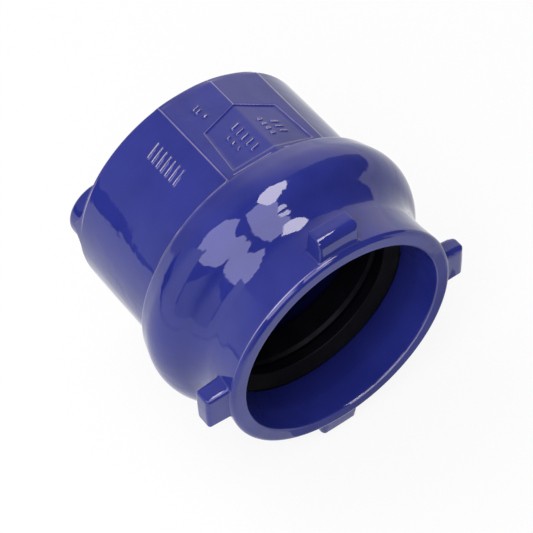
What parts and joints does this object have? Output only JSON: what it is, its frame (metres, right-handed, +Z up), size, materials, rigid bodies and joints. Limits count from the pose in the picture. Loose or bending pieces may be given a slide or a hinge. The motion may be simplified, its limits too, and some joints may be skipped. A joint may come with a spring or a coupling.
{
  "type": "pipe end cap",
  "caption": "Push-on end cap for a water pipe: blue coated iron casting with a closed barrel, a seal bulge with a black rubber ring, an open socket mouth with lugs and a round boss behind.",
  "frame": {"origin": "centre of the socket mouth's face, on the socket axis", "axes": "+X along the socket axis, out of the mouth; +Z up as the cap sits on a level pipe, through the middle of one lug; -Y towards the side with the round boss"},
  "size_m": [0.1502, 0.1698, 0.17],
  "materials": {
    "coated_iron": "glossy dark blue epoxy coat over a cast iron surface",
    "seal_rubber": "smooth black moulded rubber"
  },
  "bodies": {
    "root": {"cap_casting": "coated_iron", "seal_ring": "seal_rubber"}
  },
  "joints": []
}
